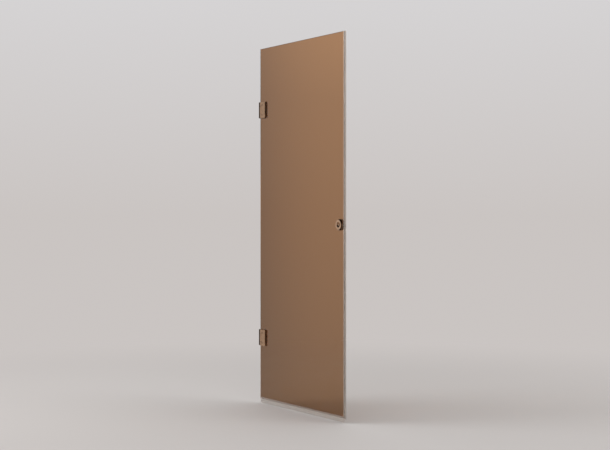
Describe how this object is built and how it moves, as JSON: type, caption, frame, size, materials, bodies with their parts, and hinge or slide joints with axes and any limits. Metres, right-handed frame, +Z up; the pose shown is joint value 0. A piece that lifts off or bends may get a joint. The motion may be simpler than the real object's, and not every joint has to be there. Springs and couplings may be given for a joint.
{
  "type": "frameless glass shower door",
  "caption": "Frameless bronze-tinted glass shower door hung on wall plates by glass clamp hinges, with round knobs, a closing edge seal and a bottom sweep seal.",
  "frame": {"origin": "on the flat back of the lower wall plate, in the middle plane of the glass, at the lower hinge's mid height", "axes": "+X from the wall along the closed door to its closing edge, +Y through the glass to the inner side of the shower, +Z up"},
  "size_m": [0.881, 0.0585, 1.997],
  "materials": {
    "tinted_glass": "polished bronze tinted safety glass",
    "bronze_metal": "satin bronze plated brass",
    "steel": "turned stainless steel",
    "dark_plastic": "dark nylon",
    "gasket_rubber": "dark fibre gasket",
    "clear_plastic": "translucent soft plastic"
  },
  "bodies": {
    "wall_side": {"lower_wall_plate": "bronze_metal", "upper_wall_plate": "bronze_metal", "lower_bushings": "dark_plastic", "upper_bushings": "dark_plastic"},
    "leaf": {"lower_pivot_pin": "steel", "upper_pivot_pin": "steel", "upper_grub_screws": "steel", "lower_grub_screws": "steel", "lower_inner_clamp": "bronze_metal", "upper_inner_clamp": "bronze_metal", "lower_outer_clamp": "bronze_metal", "upper_outer_clamp": "bronze_metal", "lower_gaskets": "gasket_rubber", "upper_gaskets": "gasket_rubber", "lower_clamp_screws": "bronze_metal", "upper_clamp_screws": "bronze_metal", "glass_leaf": "tinted_glass", "closing_seal": "clear_plastic", "bottom_seal": "clear_plastic", "outer_knob": "bronze_metal", "inner_knob": "bronze_metal", "knob_washers": "clear_plastic", "knob_sleeve": "clear_plastic", "knob_screw": "steel"}
  },
  "joints": [
    {"name": "door_swing", "type": "hinge", "parent": "wall_side", "child": "leaf", "pos_m": [0.024, 0, 0], "axis": [0, 0, 1], "range_deg": [-90, 90]}
  ]
}
